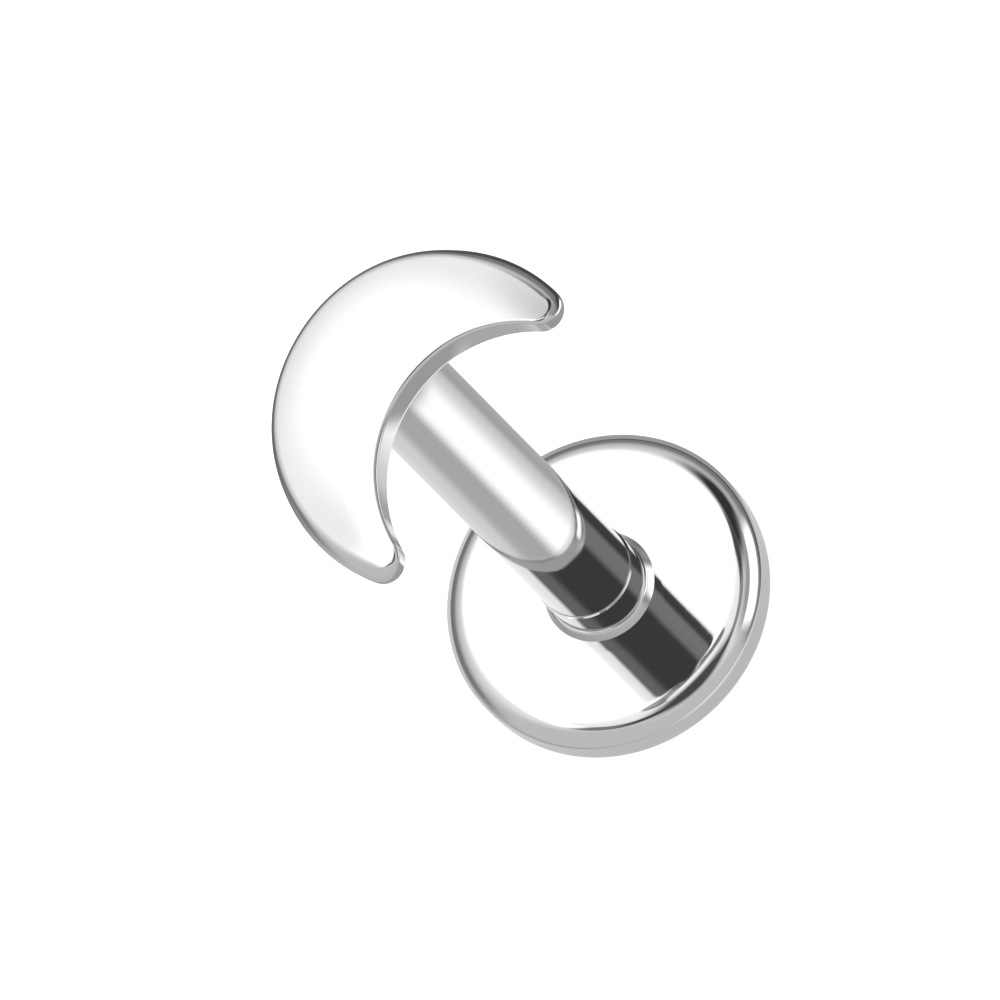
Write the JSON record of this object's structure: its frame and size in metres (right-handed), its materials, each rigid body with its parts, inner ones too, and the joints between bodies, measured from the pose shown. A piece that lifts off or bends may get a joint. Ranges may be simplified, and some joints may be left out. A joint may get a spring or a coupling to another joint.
{
  "type": "labret stud with a crescent top",
  "caption": "Flat-backed stud: a plain round post on a disc, with a flat polished crescent that plugs into the post's end.",
  "frame": {"origin": "centre of the disc's flat underside, which the stud stands on", "axes": "+Z along the post from the disc to the crescent, -Y the way the crescent's horns point, +X to the right when looking along +Y"},
  "size_m": [0.0043, 0.004, 0.0093],
  "materials": {
    "steel": "surgical stainless steel, buffed to a mirror"
  },
  "bodies": {
    "post": {"post_and_disc": "steel"},
    "crescent": {"crescent_top": "steel"}
  },
  "joints": [
    {"name": "crescent_lift", "type": "slide", "parent": "post", "child": "crescent", "axis": [0, 0, 1], "range_m": [0, 0.011]}
  ]
}
